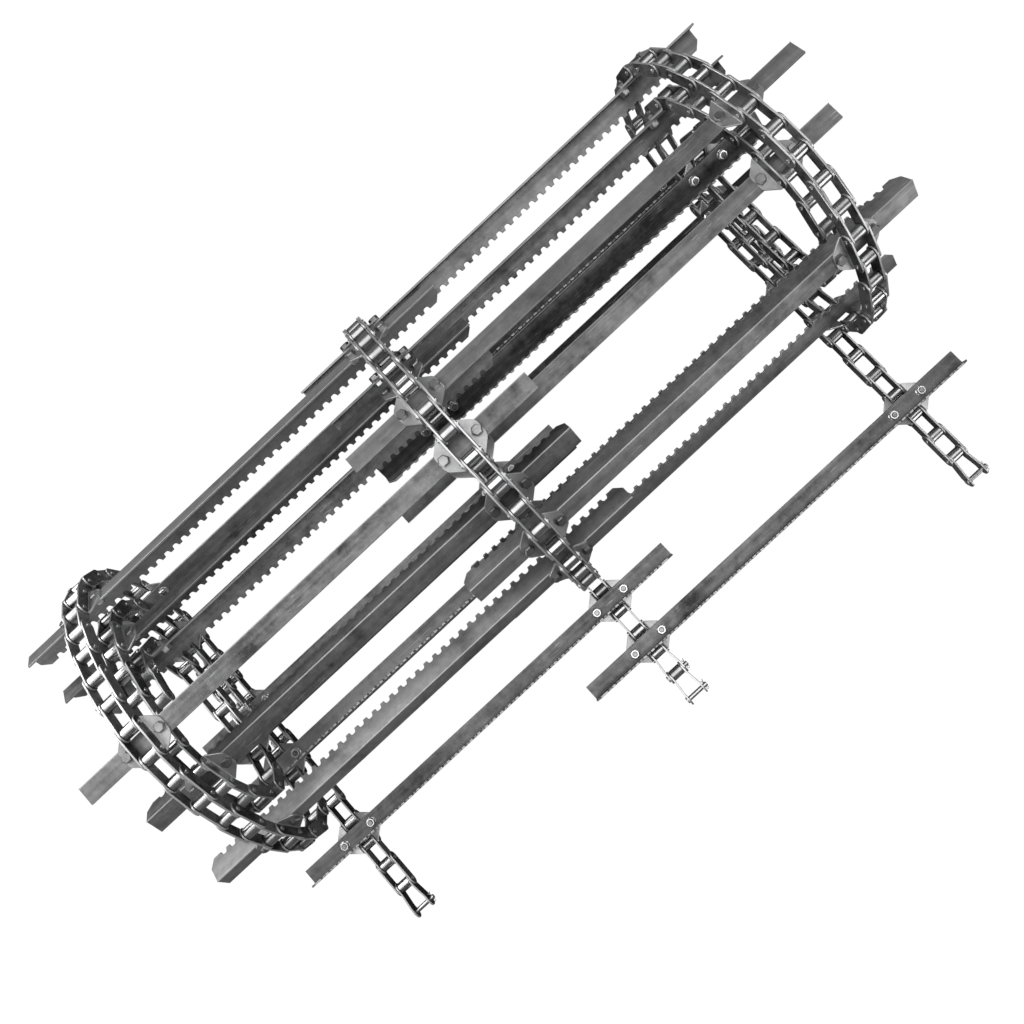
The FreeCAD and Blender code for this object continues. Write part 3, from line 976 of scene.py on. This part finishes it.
# Links at the core, where each strand starts
starts = {strand: linkPlace(strand, firstPin[strand]) for strand in layout["strands"]}
offsetStarts = [starts["left"], starts["right"]]
layOut("start_offset_plates", parts["cranked"], offsetStarts, "linkSteel", "roll", "strand_start_links")
layOut("start_inner_plates", parts["boredInner"], [starts["middle"]], "linkSteel", "roll")
layOut("start_joiners", parts["joiner"], offsetStarts, "pinSteel", "roll")
layOut("start_cotters", parts["cotter"], offsetStarts, "nutSteel", "roll")
layOut("start_bushes", parts["bushes"], [starts["middle"]], "pinSteel", "roll")
layOut("start_offset_bushes", parts["farBush"], offsetStarts, "pinSteel", "roll")
rollerPlaces = [starts["middle"] @ Matrix.Translation((0, y, 0)) for y in bothPins]
rollerPlaces += [place @ Matrix.Translation((0, halfPitch, 0)) for place in offsetStarts]
layOut("start_rollers", parts["roller"], rollerPlaces, "rollerSteel", "roll")


# One loose link with its pins or bushes, and the rollers on them
def dressTailLink(strand, j):
    number = layout["tailLinks"] - j
    node = "%s_link_%d" % (strand, number)
    body, place = nodeBody[node], linkPlace(strand, j)
    offset = j < layout["offsetLinks"][strand] - layout["foldOutLinks"][strand]
    onPins = {j: halfPitch} if offset else {j: halfPitch, j - 1: -halfPitch}
    if offset:
        layOut(node + "_plates", parts["cranked"], [place], "linkSteel", body, node)
        layOut(node + "_bush", parts["farBush"], [place], "pinSteel", body)
        end = "%s_connecting_pin_%d" % (strand, number)
        layOut(end + "_turned", parts["joiner"], [place], "pinSteel", nodeBody[end], end)
        end = "%s_cotter_%d" % (strand, number)
        layOut(end + "_folded", parts["cotter"], [place], "nutSteel", nodeBody[end], end)
    elif j % 2:
        layOut(node + "_plates", parts["boredInner"], [place], "linkSteel", body, node)
        layOut(node + "_bushes", parts["bushes"], [place], "pinSteel", body)
    else:
        plates = parts["boredWinged" if carriesSlat(strand, j) else "boredOuter"]
        layOut(node + "_plates", plates, [place], "linkSteel", body, node)
        layOut(node + "_pins", parts["pins"], [place], "pinSteel", body)
        return
    for k, y in onPins.items():
        here = place @ Matrix.Translation((0, y, 0))
        index = layout["tailLinks"] - 1 - k
        if index == 0:
            layOut(node + "_roller", parts["roller"], [here], "rollerSteel", body)
            continue
        own = "%s_roller_%d" % (strand, index)
        layOut(own + "_ground", parts["roller"], [here], "rollerSteel", nodeBody[own], own)


for strand, folded in layout["foldOutLinks"].items():
    for j in range(layout["tailLinks"] - 1, -folded - 1, -1):
        dressTailLink(strand, j)
for row, j in slat["tailLink"].items():
    place = linkPlace("middle", j)
    for kind, finish in (("Slat", "slatSteel"), ("Bolts", "boltSteel"), ("Nuts", "nutSteel")):
        node = "%s_row_%s" % (row, kind.lower())
        tone = slat["looseTone"] if kind == "Slat" else None
        layOut(node + "_dressed", parts[row + kind], [place], finish, nodeBody[node], node, ownTone=tone)
for mesh in parts.values():
    bpy.data.meshes.remove(mesh)
print("loose tail laid out")

studio = {
    "floorSize": 12.0,
    "floorTone": 0.18,
    "floorShare": 0.15,
    "backdrop": 1.17,
    "skyTone": 0.9,
    "skyStrength": 0.08,
    "aimHeight": 0.15,
}
lamps = {
    "overhead": {"place": (0.0, 0.2, 2.4), "size": 3.0, "power": 49.0},
    "side": {"place": (-1.3, 1.1, 1.9), "size": 0.8, "power": 10.0},
    "front": {"place": (1.6, -3.0, 1.1), "size": 2.0, "power": 26.0},
    "back": {"place": (-1.6, 3.0, 1.1), "size": 2.0, "power": 42.0},
    "right": {"place": (3.0, 1.6, 0.9), "size": 1.8, "power": 32.0},
    "left": {"place": (-3.0, -1.6, 0.9), "size": 1.8, "power": 32.0},
}


# The floor bounces light and holds a faint shadow; the camera looks through most of it to the pale
# backdrop, so a tail bent below the floor line stays in sight
def makeFloor():
    size = studio["floorSize"] / 2
    sheet = bmesh.new()
    bmesh.ops.create_grid(sheet, x_segments=1, y_segments=1, size=size)
    mesh = bpy.data.meshes.new("floor")
    sheet.to_mesh(mesh)
    sheet.free()
    floor = bpy.data.objects.new("floor", mesh)
    bpy.context.scene.collection.objects.link(floor)
    material = bpy.data.materials.new("paleFloor")
    material.use_nodes = True
    tree = material.node_tree
    tree.nodes.remove(tree.nodes["Principled BSDF"])
    paint = tree.nodes.new("ShaderNodeBsdfDiffuse")
    paint.inputs["Color"].default_value = grey(studio["floorTone"])
    clear = tree.nodes.new("ShaderNodeBsdfTransparent")
    mix = tree.nodes.new("ShaderNodeMixShader")
    path = tree.nodes.new("ShaderNodeLightPath")
    share = mathNode(tree, "MULTIPLY", path.outputs["Is Camera Ray"], 1.0 - studio["floorShare"])
    wire(tree, share, mix.inputs["Fac"])
    wire(tree, paint.outputs["BSDF"], mix.inputs[1])
    wire(tree, clear.outputs["BSDF"], mix.inputs[2])
    wire(tree, mix.outputs["Shader"], tree.nodes["Material Output"].inputs["Surface"])
    mesh.materials.append(material)
    floor.visible_shadow = False


def makeSky():
    world = bpy.data.worlds.new("paleRoom")
    bpy.context.scene.world = world
    world.use_nodes = True
    tree = world.node_tree
    light = tree.nodes["Background"]
    light.inputs["Color"].default_value = grey(studio["skyTone"])
    light.inputs["Strength"].default_value = studio["skyStrength"]
    seen = tree.nodes.new("ShaderNodeBackground")
    seen.inputs["Color"].default_value = (1, 1, 1, 1)
    seen.inputs["Strength"].default_value = studio["backdrop"]
    mix = tree.nodes.new("ShaderNodeMixShader")
    path = tree.nodes.new("ShaderNodeLightPath")
    wire(tree, path.outputs["Is Camera Ray"], mix.inputs["Fac"])
    wire(tree, light.outputs["Background"], mix.inputs[1])
    wire(tree, seen.outputs["Background"], mix.inputs[2])
    wire(tree, mix.outputs["Shader"], tree.nodes["World Output"].inputs["Surface"])


def makeLamp(name, look):
    light = bpy.data.lights.new(name, "AREA")
    light.shape = "DISK"
    light.size = look["size"]
    light.energy = look["power"]
    lamp = bpy.data.objects.new(name, light)
    lamp.location = look["place"]
    aim = Vector((0, 0, studio["aimHeight"])) - lamp.location
    lamp.rotation_euler = aim.to_track_quat("-Z", "Y").to_euler()
    lamp.visible_camera = False
    bpy.context.scene.collection.objects.link(lamp)


makeFloor()
makeSky()
for name, look in lamps.items():
    makeLamp(name, look)

# The photograph's view, high over the mat and turned so that the slats run up to the right
viewpoint = {
    "place": (0.021569, -0.145451, 1.533072),
    "turn": (0.078685, 0.108018, -0.744023),
    "lens": 34.961,
    "sensor": 36.0,
}
lens = bpy.data.cameras.new("viewpoint")
lens.lens = viewpoint["lens"]
lens.sensor_width = viewpoint["sensor"]
camera = bpy.data.objects.new("viewpoint", lens)
camera.location = viewpoint["place"]
camera.rotation_euler = viewpoint["turn"]
bpy.context.scene.collection.objects.link(camera)
bpy.context.scene.camera = camera
bpy.context.scene.view_settings.view_transform = "Standard"
print("studio ready")
